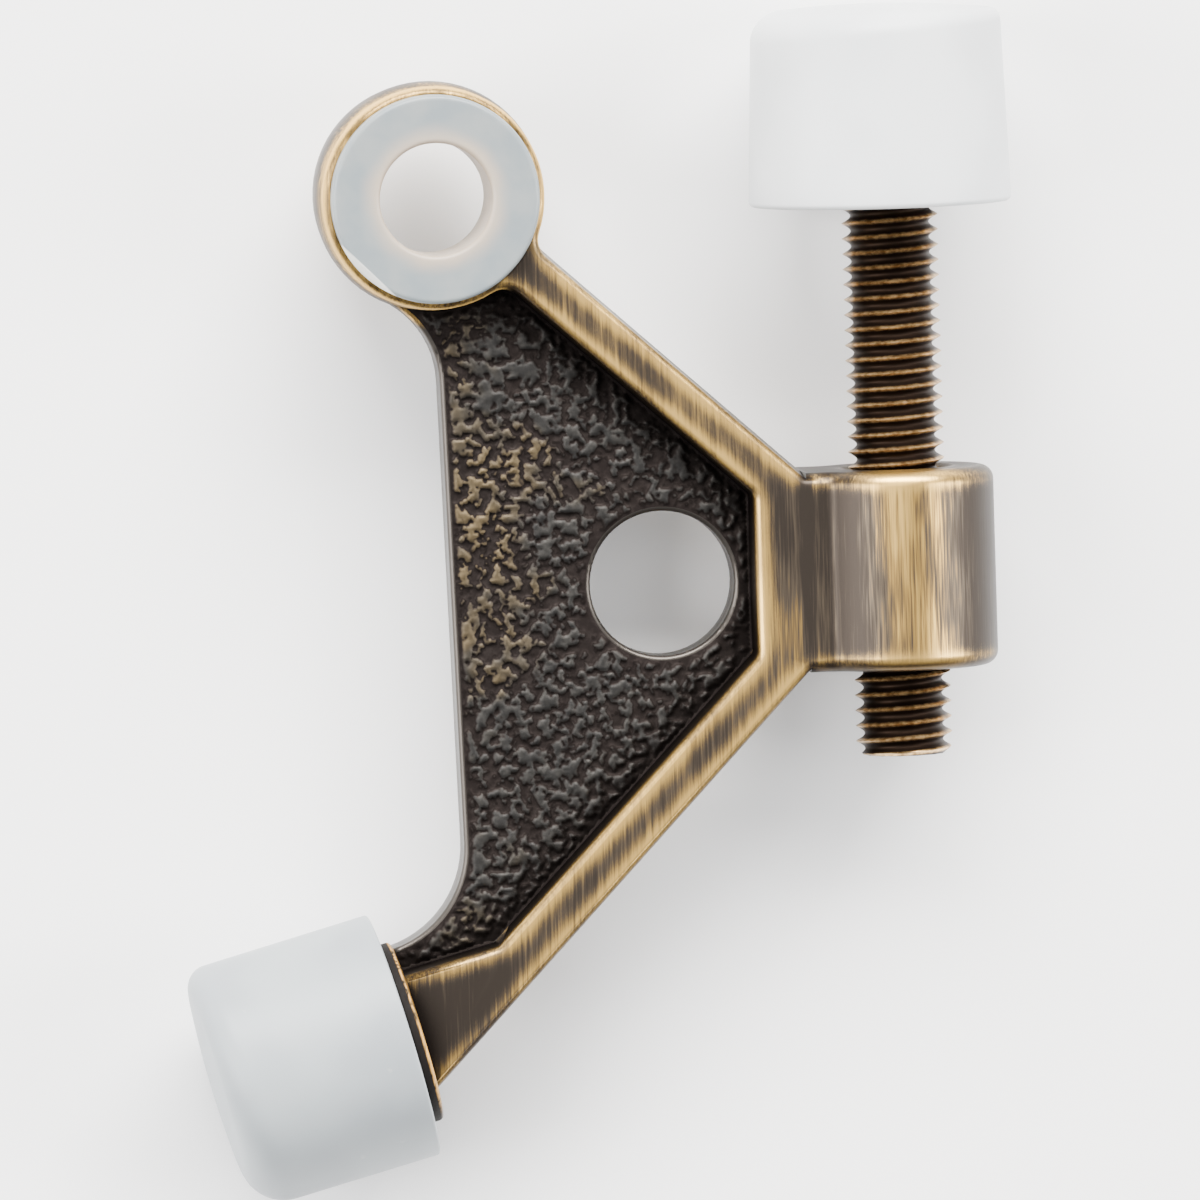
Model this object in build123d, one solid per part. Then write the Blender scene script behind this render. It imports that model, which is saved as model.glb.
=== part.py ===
"""Hinge-pin door stop: a cast bracket that hangs on a hinge pin, with an adjustable and a fixed rubber bumper.

Frame, in millimetres: the origin is on the hinge-pin bore's axis at the casting's mid-height, +Z runs along
the bore, +Y along the adjusting screw towards its bumper, and +X from the bore towards the screw.
The casting is the same above and below its mid-plane, so the stop can be turned over for the other hand.
"""
from build123d import *
import math
import os

# Casting: heights are measured from the mid-plane, outlines are drawn on it
draft_angle = 4.0
frame_half_height = 4.1
web_half_height = 1.5
frame_edge_round = 0.5
web_edge_round = 0.3

# Where solids are joined: how far one runs inside the next, and how far their faces stay apart
joint_reach = 1.5
joint_step = 0.1

# Eye for the hinge pin
eye_radius = 7.3
eye_bore_radius = 4.2
eye_to_web_round = 6.0
eye_to_rib_round = 1.2

# Tapped boss, lying along Y
boss_x = 29.36
boss_centre_y = -24.56
boss_length = 12.7
boss_radius = 6.15
boss_edge_round = 0.9
boss_to_frame_round = 1.0
boss_countersink = 0.4

# Rib frame between the eye, the boss and the stub
upper_shoulder_x = 23.15
lower_shoulder_x = 23.3
shoulder_inset = 0.05
upper_rib_angle = 42.3
lower_rib_angle = 46.3
upper_rib_width = 3.4
lower_rib_width = 3.6
post_x = 19.54
recess_corner_round = 0.5

# Web
web_edge_x = 0.45
web_edge_lean = 1.3
web_to_stub_round = 6.6
web_hole_x = 14.03
web_hole_y = -25.03
web_hole_radius = 4.6
web_hole_round = 0.3

# Stub for the fixed bumper: its axis runs down and to the left of the frame
stub_angle = 195.0
stub_x = -3.18
stub_y = -53.21
disc_radius = 5.9
disc_thickness = 0.85
disc_edge_round = 0.25
pad_half_width = 4.19
web_end_offset = 5.65
neck_radius = 2.6
neck_length = 4.2
button_radius = 4.2
button_thickness = 2.4
button_lead = 1.0

# Rubber bumpers
moving_bumper_length = 12.7
fixed_bumper_length = 12.6
fixed_bumper_radius = 7.93
fixed_bumper_swell = 0.05
moving_bumper_mouth_radius = 8.36
moving_bumper_tip_radius = 8.0
moving_bumper_swell = 0.02
moving_bumper_off_axis = -0.56
tip_round = 1.7
tip_crown = 0.5
mouth_round = 0.5
rubber_gap = 0.05

# Adjusting screw, right-hand thread with about 26 turns to the inch
thread_pitch = 0.969
thread_radius = 3.1
thread_depth = 0.6
thread_crest = 0.1
thread_clearance = 0.11
flank_angle = 30.0
screw_tip_y = -36.5
screw_tip_chamfer = 0.55
thread_phase = 206.6
spare_turns = 2
bumper_mouth_y = -1.45
head_radius = 5.0
head_thickness = 2.2
head_chamfer = 0.6
head_depth = 3.0
head_gap = 0.08

# Nylon bushing
bushing_flange_radius = 6.6
bushing_flange_thickness = 1.3
bushing_bore_radius = 3.55
bushing_length = 5.7
bushing_edge_round = 0.3
gate_flat_offset = 6.2
gate_flat_angle = 225.0
gate_flat_slope = 20.0


def direction(angle):
    """Unit vector in the mid-plane, at an angle from +X."""
    return Vector(math.cos(math.radians(angle)), math.sin(math.radians(angle)), 0)


def crossing(point_a, angle_a, point_b, angle_b):
    """Where a line through point_a at angle_a meets one through point_b at angle_b."""
    a, b = direction(angle_a), direction(angle_b)
    gap = point_b - point_a
    along = (gap.X * b.Y - gap.Y * b.X) / (a.X * b.Y - a.Y * b.X)
    return point_a + a * along


def near(shapes, point):
    """The vertex or edge that is nearest to a point."""
    return min(shapes, key=lambda shape: (shape.center() - Vector(point)).length)


stub_axis = direction(stub_angle)
stub_side = direction(stub_angle + 90)
stub_origin = Vector(stub_x, stub_y, 0)
boss_top_y = boss_centre_y + boss_length / 2
boss_bottom_y = boss_centre_y - boss_length / 2
shoulder_top = Vector(upper_shoulder_x, boss_top_y - shoulder_inset, 0)
shoulder_bottom = Vector(lower_shoulder_x, boss_bottom_y + shoulder_inset, 0)
upper_direction = 180 - upper_rib_angle
lower_direction = 180 + lower_rib_angle


def stub_point(back, across):
    """A point of the mid-plane: back from the bumper's mouth towards the frame, and across the stub's axis."""
    return stub_origin - stub_axis * back + stub_side * across


def frame_outline():
    """Raised outline: the eye, both ribs, the upright beside the boss and the pad behind the stub's disc."""
    upper_inner = shoulder_top + direction(upper_direction + 90) * upper_rib_width
    lower_inner = shoulder_bottom + direction(lower_direction - 90) * lower_rib_width
    end_back = disc_thickness - frame_edge_round - joint_step
    pad_line = stub_point(end_back, -pad_half_width)
    upright = Vector(post_x, boss_centre_y, 0)
    centre = Vector(0, 0, 0)
    inner_foot = crossing(upper_inner, upper_direction, centre, upper_direction + 90)
    outer_foot = crossing(shoulder_top, upper_direction, centre, upper_direction + 90)
    recess_corners = [
        crossing(upright, 90, upper_inner, upper_direction),
        crossing(lower_inner, lower_direction, upright, 90),
        crossing(pad_line, stub_angle, lower_inner, lower_direction),
    ]
    points = [
        outer_foot,
        inner_foot,
        *recess_corners,
        pad_line,
        crossing(shoulder_bottom, lower_direction, stub_point(end_back, 0), stub_angle + 90),
        shoulder_bottom,
        Vector(boss_x, shoulder_bottom.Y, 0),
        Vector(boss_x, shoulder_top.Y, 0),
        shoulder_top,
    ]
    outline = Polygon(*points, align=None) + Circle(eye_radius)
    for corner in recess_corners:
        outline = fillet(near(outline.vertices(), corner), recess_corner_round)
    for foot in (inner_foot, outer_foot):
        reach = math.sqrt(eye_radius**2 - foot.length**2)
        meet = foot - direction(upper_direction) * reach
        outline = fillet(near(outline.vertices(), meet), eye_to_rib_round)
    return outline


def web_outline():
    """Outline of the thin web, whose hidden sides run inside the ribs and the eye."""
    free_edge = Vector(web_edge_x, boss_centre_y, 0)
    edge_angle = 90 + web_edge_lean
    end_line = stub_point(disc_thickness / 2, -web_end_offset)
    edge_top = crossing(free_edge, edge_angle, Vector(0, 0, 0), 0)
    edge_bottom = crossing(free_edge, edge_angle, end_line, stub_angle)
    points = [
        edge_top,
        edge_bottom,
        end_line,
        stub_point(disc_thickness / 2, 0),
        shoulder_bottom + Vector(-joint_reach, joint_reach, 0),
        shoulder_top - Vector(joint_reach, joint_reach, 0),
        Vector(joint_reach, joint_reach, 0),
    ]
    outline = Polygon(*points, align=None) + Circle(eye_radius - joint_step / 2)
    below_eye = crossing(free_edge, edge_angle, Vector(0, -eye_radius, 0), 0)
    outline = fillet(near(outline.vertices(), below_eye), eye_to_web_round)
    return fillet(near(outline.vertices(), edge_bottom), web_to_stub_round)


def drafted(outline, half_height, edge_round):
    """Both halves of a casting outline, drawn in towards the top and bottom, with rounded rims."""
    upper = extrude(outline, amount=half_height, taper=draft_angle)
    upper = fillet(upper.faces().sort_by(Axis.Z)[-1].edges(), edge_round)
    return upper + mirror(upper, about=Plane.XY)


def thread_turns(root_radius, crest_radius, crest_width, length):
    """Solid right-hand thread about +Z with flat roots and crests, longer than needed, so its ends get cut off."""
    slope = math.tan(math.radians(flank_angle))
    crest = crest_width / 2
    root = crest + (crest_radius - root_radius) * slope
    profile = [
        (root_radius, -root),
        (crest_radius, -crest),
        (crest_radius, crest),
        (root_radius, root),
        (root_radius, thread_pitch - root),
    ]
    helices = [
        Edge.make_helix(thread_pitch, thread_pitch, radius, center=(0, 0, height)) for radius, height in profile
    ]
    turn = [Face.make_surface_from_curves(a, b) for a, b in zip(helices, helices[1:])]
    axis_line = Edge.make_line((0, 0, -root), (0, 0, thread_pitch - root))
    section = Polyline((0, 0, -root), *[(r, 0, z) for r, z in profile], (0, 0, thread_pitch - root), close=True)
    ends = [Face.make_surface_from_curves(axis_line, helices[0]), Face(Wire(section.edges()))]
    turns = math.ceil(length / thread_pitch) + spare_turns
    faces = [face.moved(Pos(0, 0, k * thread_pitch)) for k in range(turns) for face in turn]
    faces += ends + [face.moved(Pos(0, 0, turns * thread_pitch)) for face in ends]
    return Solid(Shell(faces))


def on_screw_axis(shape, start_y):
    """Turns a shape that stands along +Z so that it lies along the screw's axis from start_y."""
    return Pos(boss_x, start_y, 0) * Rot(-90, 0, 0) * shape


def on_stub_axis(shape, back=0.0):
    """Turns a shape that stands along +Z so that it points along the stub's axis from its bumper's mouth."""
    return Location(Plane(origin=stub_origin - stub_axis * back, z_dir=stub_axis)) * shape


def cylinder_between(radius, low, high, top_radius=None):
    """Cylinder or cone about +Z from one height to another."""
    if top_radius is None:
        return Pos(0, 0, low) * Cylinder(radius, high - low, align=(Align.CENTER, Align.CENTER, Align.MIN))
    return Pos(0, 0, low) * Cone(radius, top_radius, high - low, align=(Align.CENTER, Align.CENTER, Align.MIN))


def stub():
    """Disc, neck and hidden button head that hold the fixed bumper, about +Z with the bumper's mouth at zero."""
    disc = cylinder_between(disc_radius, -disc_thickness, 0)
    disc = fillet(disc.edges(), disc_edge_round)
    neck = cylinder_between(neck_radius, -disc_thickness / 2, neck_length + joint_step)
    lead_z = neck_length + button_thickness - button_lead
    button = cylinder_between(button_radius, neck_length, lead_z)
    lead = cylinder_between(button_radius, lead_z, lead_z + button_lead, button_radius - button_lead)
    return disc + neck + button + lead


def boss():
    """Tapped boss about +Z, with the block that joins it to the frame, before it is tapped."""
    reach = boss_x - upper_shoulder_x
    block = Pos(-reach / 2, 0) * Rectangle(reach, 2 * frame_half_height)
    section = Circle(boss_radius) + block
    joint_x = -math.sqrt(boss_radius**2 - frame_half_height**2)
    for side in (-1, 1):
        joint = near(section.vertices(), (joint_x, side * frame_half_height, 0))
        section = fillet(joint, boss_to_frame_round)
    solid = extrude(section, amount=boss_length)
    flat_edges = solid.edges().filter_by(Axis.Z, reverse=True)
    rims = [edge for edge in flat_edges if edge.center().X > joint_step - reach]
    return fillet(rims, boss_edge_round)


def tap():
    """Cutter for the boss's thread: the screw's own thread grown by the clearance, in step with it."""
    angle = math.radians(flank_angle)
    growth = 2 * thread_clearance * (1 / math.cos(angle) - math.tan(angle))
    root = thread_radius - thread_depth + thread_clearance
    crest = thread_radius + thread_clearance
    turns_up = math.floor((boss_bottom_y - screw_tip_y) / thread_pitch) - spare_turns
    turns = thread_turns(root, crest, thread_crest + growth, boss_length + spare_turns * thread_pitch)
    return on_screw_axis(Rot(0, 0, thread_phase) * turns, screw_tip_y + turns_up * thread_pitch)


def countersink():
    """Cone that opens one end of the tapped hole, about +Z with its wide end at zero."""
    mouth = thread_radius + thread_clearance + boss_countersink
    return cylinder_between(mouth, 0, mouth, 0)


def make_bracket():
    """The one-piece casting."""
    casting = drafted(frame_outline(), frame_half_height, frame_edge_round)
    casting += drafted(web_outline(), web_half_height, web_edge_round)
    casting += on_screw_axis(boss(), boss_bottom_y)
    casting += on_stub_axis(stub())
    casting -= cylinder_between(eye_bore_radius, -2 * frame_half_height, 2 * frame_half_height)
    casting -= Pos(web_hole_x, web_hole_y, 0) * cylinder_between(web_hole_radius, -web_half_height, web_half_height)
    hole_rims = [near(casting.edges(), (web_hole_x, web_hole_y, z)) for z in (-web_half_height, web_half_height)]
    casting = fillet(hole_rims, web_hole_round)
    casting -= tap()
    casting -= Pos(boss_x, boss_bottom_y, 0) * Rot(-90, 0, 0) * countersink()
    casting -= Pos(boss_x, boss_top_y, 0) * Rot(90, 0, 0) * countersink()
    return casting


def make_screw():
    """Threaded rod with a plain round head at its upper end."""
    head_y = bumper_mouth_y + head_depth
    length = head_y - screw_tip_y
    start = -spare_turns * thread_pitch
    root = thread_radius - thread_depth
    turns = thread_turns(root, thread_radius, thread_crest, length + 2 * spare_turns * thread_pitch)
    turns = Pos(0, 0, start) * Rot(0, 0, thread_phase) * turns
    tip_radius = thread_radius - screw_tip_chamfer
    envelope = cylinder_between(tip_radius, 0, screw_tip_chamfer, thread_radius)
    envelope += cylinder_between(thread_radius + joint_step, screw_tip_chamfer, length + head_thickness / 2)
    rod = turns & envelope
    head = cylinder_between(head_radius, length, length + head_thickness)
    head = chamfer(head.edges().sort_by(Axis.Z)[-1], head_chamfer)
    return on_screw_axis(rod + head, screw_tip_y)


def cap_body(mouth_radius, tip_radius, swell, length):
    """Rubber cap about +Z: mouth at zero, a slightly crowned tip, rounded rims."""
    crown_z = length - tip_crown
    middle = (mouth_radius + tip_radius) / 2 + swell
    side = ThreePointArc((mouth_radius, 0), (middle, crown_z / 2), (tip_radius, crown_z))
    top = TangentArc((0, length), (tip_radius, crown_z), tangent=(1, 0))
    section = make_face(side + top + Polyline((0, length), (0, 0), (mouth_radius, 0)))
    section = fillet(near(section.vertices(), (tip_radius, crown_z, 0)), tip_round)
    section = fillet(near(section.vertices(), (mouth_radius, 0, 0)), mouth_round)
    return revolve(Rot(90, 0, 0) * section, Axis.Z)


def make_moving_bumper():
    """Cap on the screw: its pocket clears the head and the thread all round, so the screw turns in it."""
    cap = cap_body(
        moving_bumper_mouth_radius, moving_bumper_tip_radius, moving_bumper_swell, moving_bumper_length
    )
    pocket = cylinder_between(thread_radius + head_gap, -joint_reach, head_depth)
    pocket += cylinder_between(
        head_radius + head_gap, head_depth - head_gap, head_depth + head_thickness + head_gap
    )
    return on_screw_axis(Pos(moving_bumper_off_axis, 0, 0) * cap - pocket, bumper_mouth_y)


def make_fixed_bumper():
    """Cap on the stub's neck and button head."""
    cap = cap_body(fixed_bumper_radius, fixed_bumper_radius, fixed_bumper_swell, fixed_bumper_length)
    pocket = cylinder_between(neck_radius + rubber_gap, -joint_reach, neck_length)
    pocket += cylinder_between(
        button_radius + rubber_gap, neck_length - rubber_gap, neck_length + button_thickness + rubber_gap
    )
    return on_stub_axis(cap - pocket, -rubber_gap)


def make_bushing():
    """Flanged nylon bushing with a flat on its rim where the moulding gate was."""
    top = frame_half_height + bushing_flange_thickness
    flange = cylinder_between(bushing_flange_radius, frame_half_height, top)
    flange = fillet(flange.edges().sort_by(Axis.Z)[-1], bushing_edge_round)
    out = direction(gate_flat_angle)
    flat = Plane(origin=out * gate_flat_offset + Vector(0, 0, top), x_dir=(0, 0, 1), z_dir=out)
    side = 2 * bushing_flange_radius
    trim = Box(side, side, side, align=(Align.CENTER, Align.CENTER, Align.MIN))
    flange -= Location(flat) * Rot(0, gate_flat_slope, 0) * trim
    sleeve = cylinder_between(eye_bore_radius, top - bushing_length, frame_half_height + joint_step)
    body = flange + sleeve - cylinder_between(bushing_bore_radius, -top, 2 * top)
    return fillet(near(body.edges(), (0, 0, top)), bushing_edge_round)


parts = {
    "bracket": make_bracket,
    "bushing": make_bushing,
    "adjusting_screw": make_screw,
    "adjustable_bumper": make_moving_bumper,
    "fixed_bumper": make_fixed_bumper,
}

os.makedirs("parts", exist_ok=True)
for name, make in parts.items():
    solid = make()
    export_step(solid, f"parts/{name}.step")
    print(name, len(solid.solids()), "solid", round(solid.volume, 2), "mm3")
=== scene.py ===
import math

import bmesh
import bpy
import numpy as np
from mathutils import Matrix, Vector
from mathutils.geometry import delaunay_2d_cdt


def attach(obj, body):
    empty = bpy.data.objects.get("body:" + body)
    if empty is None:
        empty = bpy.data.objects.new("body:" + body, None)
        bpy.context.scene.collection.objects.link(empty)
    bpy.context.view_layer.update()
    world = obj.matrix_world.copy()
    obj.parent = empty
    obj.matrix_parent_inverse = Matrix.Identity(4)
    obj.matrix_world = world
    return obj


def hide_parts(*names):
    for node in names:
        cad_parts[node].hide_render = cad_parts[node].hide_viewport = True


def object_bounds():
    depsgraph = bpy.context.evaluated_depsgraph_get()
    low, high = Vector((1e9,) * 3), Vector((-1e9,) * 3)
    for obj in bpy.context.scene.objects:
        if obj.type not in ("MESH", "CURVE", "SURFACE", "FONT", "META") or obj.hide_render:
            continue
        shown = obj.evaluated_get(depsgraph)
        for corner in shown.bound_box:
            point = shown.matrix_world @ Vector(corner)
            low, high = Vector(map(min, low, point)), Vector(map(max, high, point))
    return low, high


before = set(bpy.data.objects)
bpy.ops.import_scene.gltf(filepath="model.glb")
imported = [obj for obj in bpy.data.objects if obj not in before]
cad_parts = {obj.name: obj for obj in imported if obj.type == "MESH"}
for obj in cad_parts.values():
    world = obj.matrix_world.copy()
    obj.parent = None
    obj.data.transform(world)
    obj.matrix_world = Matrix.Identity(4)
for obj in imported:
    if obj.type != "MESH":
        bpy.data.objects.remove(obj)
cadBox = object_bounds()
mm = 0.001
weld = 0.0005 * mm                   # points closer than this are one point
print("frame loaded:", ", ".join(sorted(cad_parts)))


def feed(tree, socket, value):
    if isinstance(value, bpy.types.NodeSocket):
        tree.links.new(value, socket)
    else:
        socket.default_value = value


def addNode(tree, kind, inputs=None, **settings):
    node = tree.nodes.new(kind)
    for name, value in settings.items():
        setattr(node, name, value)
    for name, value in (inputs or {}).items():
        feed(tree, node.inputs[name], value)
    return node


def calc(tree, operation, first, second=0.0, clamp=False):
    node = addNode(tree, "ShaderNodeMath", {0: first, 1: second}, operation=operation, use_clamp=clamp)
    return node.outputs[0]


def add(tree, first, second):
    return calc(tree, "ADD", first, second)


def minus(tree, first, second):
    return calc(tree, "SUBTRACT", first, second)


def times(tree, first, second):
    return calc(tree, "MULTIPLY", first, second)


def apart(tree, first, second):
    return calc(tree, "ABSOLUTE", minus(tree, first, second))


def weighted(tree, *pairs):
    # sum of value times weight
    total = 0.0
    for value, weight in pairs:
        total = add(tree, times(tree, value, weight), total)
    return total


def vectorCalc(tree, operation, first, second=(0, 0, 0)):
    node = addNode(tree, "ShaderNodeVectorMath", {0: first, 1: second}, operation=operation)
    givesNumber = operation in ("LENGTH", "DISTANCE", "DOT_PRODUCT")
    return node.outputs["Value" if givesNumber else "Vector"]


def scaled(tree, vector, factor):
    node = addNode(tree, "ShaderNodeVectorMath", {0: vector, "Scale": factor}, operation="SCALE")
    return node.outputs["Vector"]


def split(tree, vector):
    return addNode(tree, "ShaderNodeSeparateXYZ", {0: vector}).outputs


def blendColour(tree, factor, first, second):
    node = addNode(tree, "ShaderNodeMix", {0: factor, 6: first, 7: second}, data_type="RGBA")
    return node.outputs[2]


def fade(tree, value, start, end, low=0.0, high=1.0):
    inputs = {"Value": value, "From Min": start, "From Max": end, "To Min": low, "To Max": high}
    return addNode(tree, "ShaderNodeMapRange", inputs, interpolation_type="SMOOTHSTEP").outputs[0]


def grain(tree, position, stretch, detail=2.0, roughness=0.5):
    # stretch is how many cells there are in a metre along X, Y and Z
    inputs = {"Vector": vectorCalc(tree, "MULTIPLY", position, stretch), "Scale": 1.0, "Detail": detail,
              "Roughness": roughness}
    return addNode(tree, "ShaderNodeTexNoise", inputs).outputs[0]


def evenly(cells):
    return (cells, cells, cells)


def startMaterial(name):
    material = bpy.data.materials.new(name)
    material.use_nodes = True
    tree = material.node_tree
    tree.nodes.clear()
    output = addNode(tree, "ShaderNodeOutputMaterial")
    shader = addNode(tree, "ShaderNodeBsdfPrincipled")
    tree.links.new(shader.outputs[0], output.inputs[0])
    position = addNode(tree, "ShaderNodeTexCoord").outputs["Object"]
    return material, tree, shader, position


def bumpFrom(tree, shader, height, strength, distance):
    inputs = {"Height": height, "Strength": strength, "Distance": distance}
    bump = addNode(tree, "ShaderNodeBump", inputs)
    tree.links.new(bump.outputs[0], shader.inputs["Normal"])


def glowInside(shader, weight, scale):
    shader.inputs["Subsurface Weight"].default_value = weight
    shader.inputs["Subsurface Radius"].default_value = (1.0, 1.0, 1.0)
    shader.inputs["Subsurface Scale"].default_value = scale


def ringArc(centreR, centreZ, radius, start, end, steps):
    # points (r, z) of an arc, its angles in degrees from the outward direction
    angles = [math.radians(start + (end - start) * k / steps) for k in range(steps + 1)]
    return [(centreR + radius * math.cos(a), centreZ + radius * math.sin(a)) for a in angles]


def lathe(profile, segments, loop=False):
    # profile(angle) gives the points (r, z, sideways shift) of one section; a radius of zero is a pole
    bm = bmesh.new()
    angles = [2 * math.pi * k / segments for k in range(segments)]
    sections = [profile(a) for a in angles]
    rings = []
    for row in range(len(sections[0])):
        if sections[0][row][0] == 0:
            radius, z, shift = sections[0][row]
            rings.append([bm.verts.new((shift, 0, z))] * segments)
            continue
        ring = []
        for angle, section in zip(angles, sections):
            radius, z, shift = section[row]
            ring.append(bm.verts.new((shift + radius * math.cos(angle), radius * math.sin(angle), z)))
        rings.append(ring)
    pairs = list(zip(rings, rings[1:]))
    if loop:
        pairs.append((rings[-1], rings[0]))
    for low, high in pairs:
        for k in range(segments):
            n = (k + 1) % segments
            corners = list(dict.fromkeys([low[k], low[n], high[n], high[k]]))
            bm.faces.new(corners)
    bmesh.ops.recalc_face_normals(bm, faces=bm.faces)
    return bm


def meshObject(bm, name, *materials):
    mesh = bpy.data.meshes.new(name)
    bm.to_mesh(mesh)
    bm.free()
    for material in materials:
        mesh.materials.append(material)
    piece = bpy.data.objects.new(name, mesh)
    bpy.context.scene.collection.objects.link(piece)
    return piece


def smoothByFaces(piece, sharpAngle):
    # large flat faces keep their own direction, small rounds blend into them
    piece.data.shade_smooth()
    piece.data.set_sharp_from_angle(angle=math.radians(sharpAngle))
    weights = piece.modifiers.new("weights", "WEIGHTED_NORMAL")
    weights.mode = "FACE_AREA"
    weights.weight = 80
    weights.keep_sharp = True
    makePlain(piece)


def makePlain(piece):
    graph = bpy.context.evaluated_depsgraph_get()
    plain = bpy.data.meshes.new_from_object(piece.evaluated_get(graph), depsgraph=graph)
    plain.name = piece.name
    piece.modifiers.clear()
    piece.data = plain


def settle(piece, body, node):
    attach(piece, body)
    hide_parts(node)
    print("made", piece.name, "with", len(piece.data.polygons), "faces")


def startTree(name, geometryName, sizes, materialName):
    # a Geometry Nodes tree whose named inputs are a geometry, some sizes and a material
    tree = bpy.data.node_groups.new(name, "GeometryNodeTree")
    tree.interface.new_socket(geometryName, in_out="INPUT", socket_type="NodeSocketGeometry")
    for label, value in sizes.items():
        socket = tree.interface.new_socket(label, in_out="INPUT", socket_type="NodeSocketFloat")
        socket.default_value = value
    tree.interface.new_socket(materialName, in_out="INPUT", socket_type="NodeSocketMaterial")
    tree.interface.new_socket("Geometry", in_out="OUTPUT", socket_type="NodeSocketGeometry")
    return tree, addNode(tree, "NodeGroupInput").outputs


def endTree(tree, geometry, material, where=True):
    real = addNode(tree, "GeometryNodeRealizeInstances", {"Geometry": geometry})
    inputs = {"Geometry": real.outputs[0], "Selection": where, "Material": material}
    finished = addNode(tree, "GeometryNodeSetMaterial", inputs)
    done = addNode(tree, "NodeGroupOutput")
    tree.links.new(finished.outputs[0], done.inputs[0])


def runTree(piece, tree, materialName, material):
    # the input is set by its socket's identifier, and the result becomes a plain mesh
    modifier = piece.modifiers.new(tree.name, "NODES")
    modifier.node_group = tree
    for item in tree.interface.items_tree:
        if item.item_type == "SOCKET" and item.in_out == "INPUT" and item.name == materialName:
            modifier[item.identifier] = material
    makePlain(piece)


studio = {
    "frameWidth": 76.2 * mm,        # what the view takes in at the part's mid-plane
    "distance": 1.2,
    "tilt": 7.03,                   # degrees between the line of sight and the bore
    "heading": 147.14,              # degrees from +X towards which the camera leans
    "roll": -2.085,
    "target": (10.18 * mm, -26.03 * mm, 0.0),
    "sensor": 36.0,
    "nearest": 0.01,                # metres from the camera
    "farthest": 20,
    "floorColour": (0.96, 0.96, 0.96, 1),
    "floorShade": (0.94, 0.94, 0.945, 1),
    "floorClouds": 3,               # in a metre
    "floorSize": 6.0,
    "floorGap": 0.02 * mm,          # between the floor and the lowest point
    "skyColour": (0.9, 0.91, 0.93, 1),
    "skyStrength": 0.6,
    "lamps": {
        # name: (place in metres, width, height, watts, colour)
        "backSoftbox": ((0.1, 1.3, 1.0), 1.8, 0.8, 150, (1.0, 0.98, 0.95)),
        "leftSoftbox": ((-1.4, 0.1, 1.0), 0.8, 1.5, 60, (1.0, 0.99, 0.98)),
        "rightSoftbox": ((1.5, 0.0, 0.9), 0.6, 1.5, 40, (1.0, 0.99, 0.98)),
        "topSoftbox": ((-0.2, 0.3, 1.9), 0.7, 0.7, 6, (1.0, 1.0, 1.0)),
    },
}


def makeCamera():
    tilt, heading, roll = (math.radians(studio[k]) for k in ("tilt", "heading", "roll"))
    lean = math.sin(tilt)
    toViewer = Vector((lean * math.cos(heading), lean * math.sin(heading), math.cos(tilt)))
    right = Vector((math.cos(roll), math.sin(roll), 0))
    right = (right - toViewer * right.dot(toViewer)).normalized()
    up = toViewer.cross(right)
    camera = bpy.data.objects.new("studioCamera", bpy.data.cameras.new("studioCamera"))
    bpy.context.scene.collection.objects.link(camera)
    turn = Matrix((right, up, toViewer)).transposed()
    place = Vector(studio["target"]) + toViewer * studio["distance"]
    camera.matrix_world = Matrix.Translation(place) @ turn.to_4x4()
    camera.data.sensor_width = studio["sensor"]
    camera.data.lens = studio["sensor"] * studio["distance"] / studio["frameWidth"]
    camera.data.clip_start = studio["nearest"]
    camera.data.clip_end = studio["farthest"]
    bpy.context.scene.camera = camera


def makeFloor():
    material, tree, shader, position = startMaterial("paleFloor")
    cloud = fade(tree, grain(tree, position, evenly(studio["floorClouds"])), 0.3, 0.7)
    tone = blendColour(tree, cloud, studio["floorColour"], studio["floorShade"])
    feed(tree, shader.inputs["Base Color"], tone)
    shader.inputs["Roughness"].default_value = 0.9
    shader.inputs["Specular IOR Level"].default_value = 0.1
    bm = bmesh.new()
    bmesh.ops.create_grid(bm, x_segments=1, y_segments=1, size=studio["floorSize"] / 2)
    bmesh.ops.translate(bm, verts=bm.verts, vec=(0, 0, cadBox[0].z - studio["floorGap"]))
    floor = meshObject(bm, "floor", material)


def makeLights():
    world = bpy.data.worlds.new("studioSky")
    world.use_nodes = True
    sky = world.node_tree.nodes["Background"]
    sky.inputs[0].default_value = studio["skyColour"]
    sky.inputs[1].default_value = studio["skyStrength"]
    bpy.context.scene.world = world
    middle = (cadBox[0] + cadBox[1]) / 2
    for name, (place, width, height, watts, colour) in studio["lamps"].items():
        light = bpy.data.lights.new(name, "AREA")
        light.shape = "RECTANGLE"
        light.size = width
        light.size_y = height
        light.energy = watts
        light.color = colour
        lamp = bpy.data.objects.new(name, light)
        lamp.location = middle + Vector(place)
        lamp.rotation_mode = "QUATERNION"
        lamp.rotation_quaternion = (-Vector(place)).to_track_quat("-Z", "Y")
        lamp.visible_camera = False
        bpy.context.scene.collection.objects.link(lamp)


makeCamera()
makeFloor()
makeLights()
print("studio set")


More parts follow.
